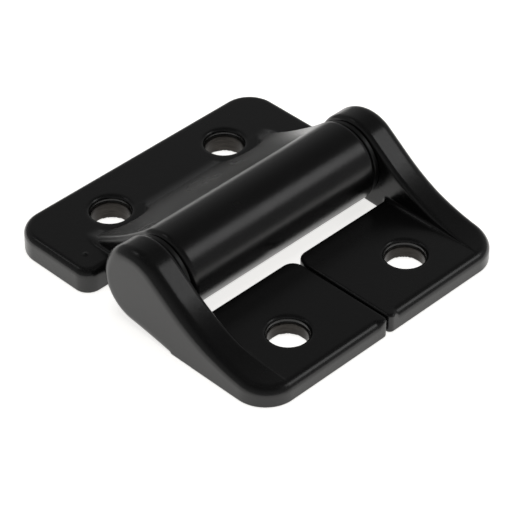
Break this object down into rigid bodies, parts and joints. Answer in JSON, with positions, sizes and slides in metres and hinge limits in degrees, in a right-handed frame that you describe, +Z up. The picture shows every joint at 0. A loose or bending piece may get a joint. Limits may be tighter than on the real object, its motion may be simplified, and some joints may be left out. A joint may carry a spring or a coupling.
{
  "type": "constant torque hinge",
  "caption": "Friction door hinge: a plate with a barrel cast in one piece, turned against a split leaf whose two eared halves hold the shaft ends.",
  "frame": {"origin": "on the mounting plane, straight below the middle of the pin line, which is the middle of the open hinge", "axes": "+X along the pin line, +Y from the pin towards the knuckle leaf, +Z up out of the mounting plane"},
  "size_m": [0.054, 0.0576, 0.0148],
  "materials": {
    "powder_coat": "satin black powder coat on die-cast zinc, fine orange peel",
    "ground_steel": "ground steel rod",
    "black_acetal": "moulded black acetal",
    "spring_steel": "blued spring steel strip"
  },
  "bodies": {
    "knuckle_side": {"knuckle_leaf": "powder_coat", "bushing_left": "black_acetal", "bushing_right": "black_acetal", "friction_clip_01": "spring_steel", "friction_clip_02": "spring_steel", "friction_clip_03": "spring_steel", "friction_clip_04": "spring_steel", "friction_clip_05": "spring_steel", "friction_clip_06": "spring_steel", "friction_clip_07": "spring_steel", "friction_clip_08": "spring_steel", "friction_clip_09": "spring_steel", "friction_clip_10": "spring_steel", "friction_clip_11": "spring_steel", "friction_clip_12": "spring_steel", "friction_clip_13": "spring_steel", "friction_clip_14": "spring_steel"},
    "split_side": {"left_half_leaf": "powder_coat", "right_half_leaf": "powder_coat", "shaft": "ground_steel"}
  },
  "joints": [
    {"name": "pin_hinge", "type": "hinge", "parent": "knuckle_side", "child": "split_side", "pos_m": [0, 0, 0.00765], "axis": [-1, 0, 0], "range_deg": [-90, 180]}
  ]
}
